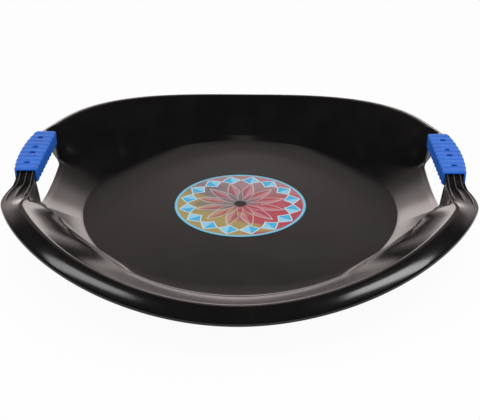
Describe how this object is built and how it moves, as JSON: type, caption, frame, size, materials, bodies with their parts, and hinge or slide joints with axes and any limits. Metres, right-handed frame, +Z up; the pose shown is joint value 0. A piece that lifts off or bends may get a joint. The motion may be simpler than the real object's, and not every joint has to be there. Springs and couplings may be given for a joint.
{
  "type": "saucer sled",
  "caption": "Round shallow dish sled with a saddle-shaped rim, a turned-down lip, raised side handle bars over hand windows, clip-on ribbed grips and a round floor decal.",
  "frame": {"origin": "centre of the underside of the floor, which the sled stands on", "axes": "+Z up, +X to the right-hand grip, +Y to the back, away from the viewer of the picture"},
  "size_m": [0.5226, 0.579, 0.0751],
  "materials": {
    "dish_plastic": "satin",
    "grip_plastic": "satin",
    "decal_film": "printed film"
  },
  "bodies": {
    "root": {"dish": "dish_plastic", "decal": "decal_film", "left_grip_cover": "grip_plastic", "left_grip_base": "grip_plastic", "right_grip_cover": "grip_plastic", "right_grip_base": "grip_plastic"}
  },
  "joints": []
}
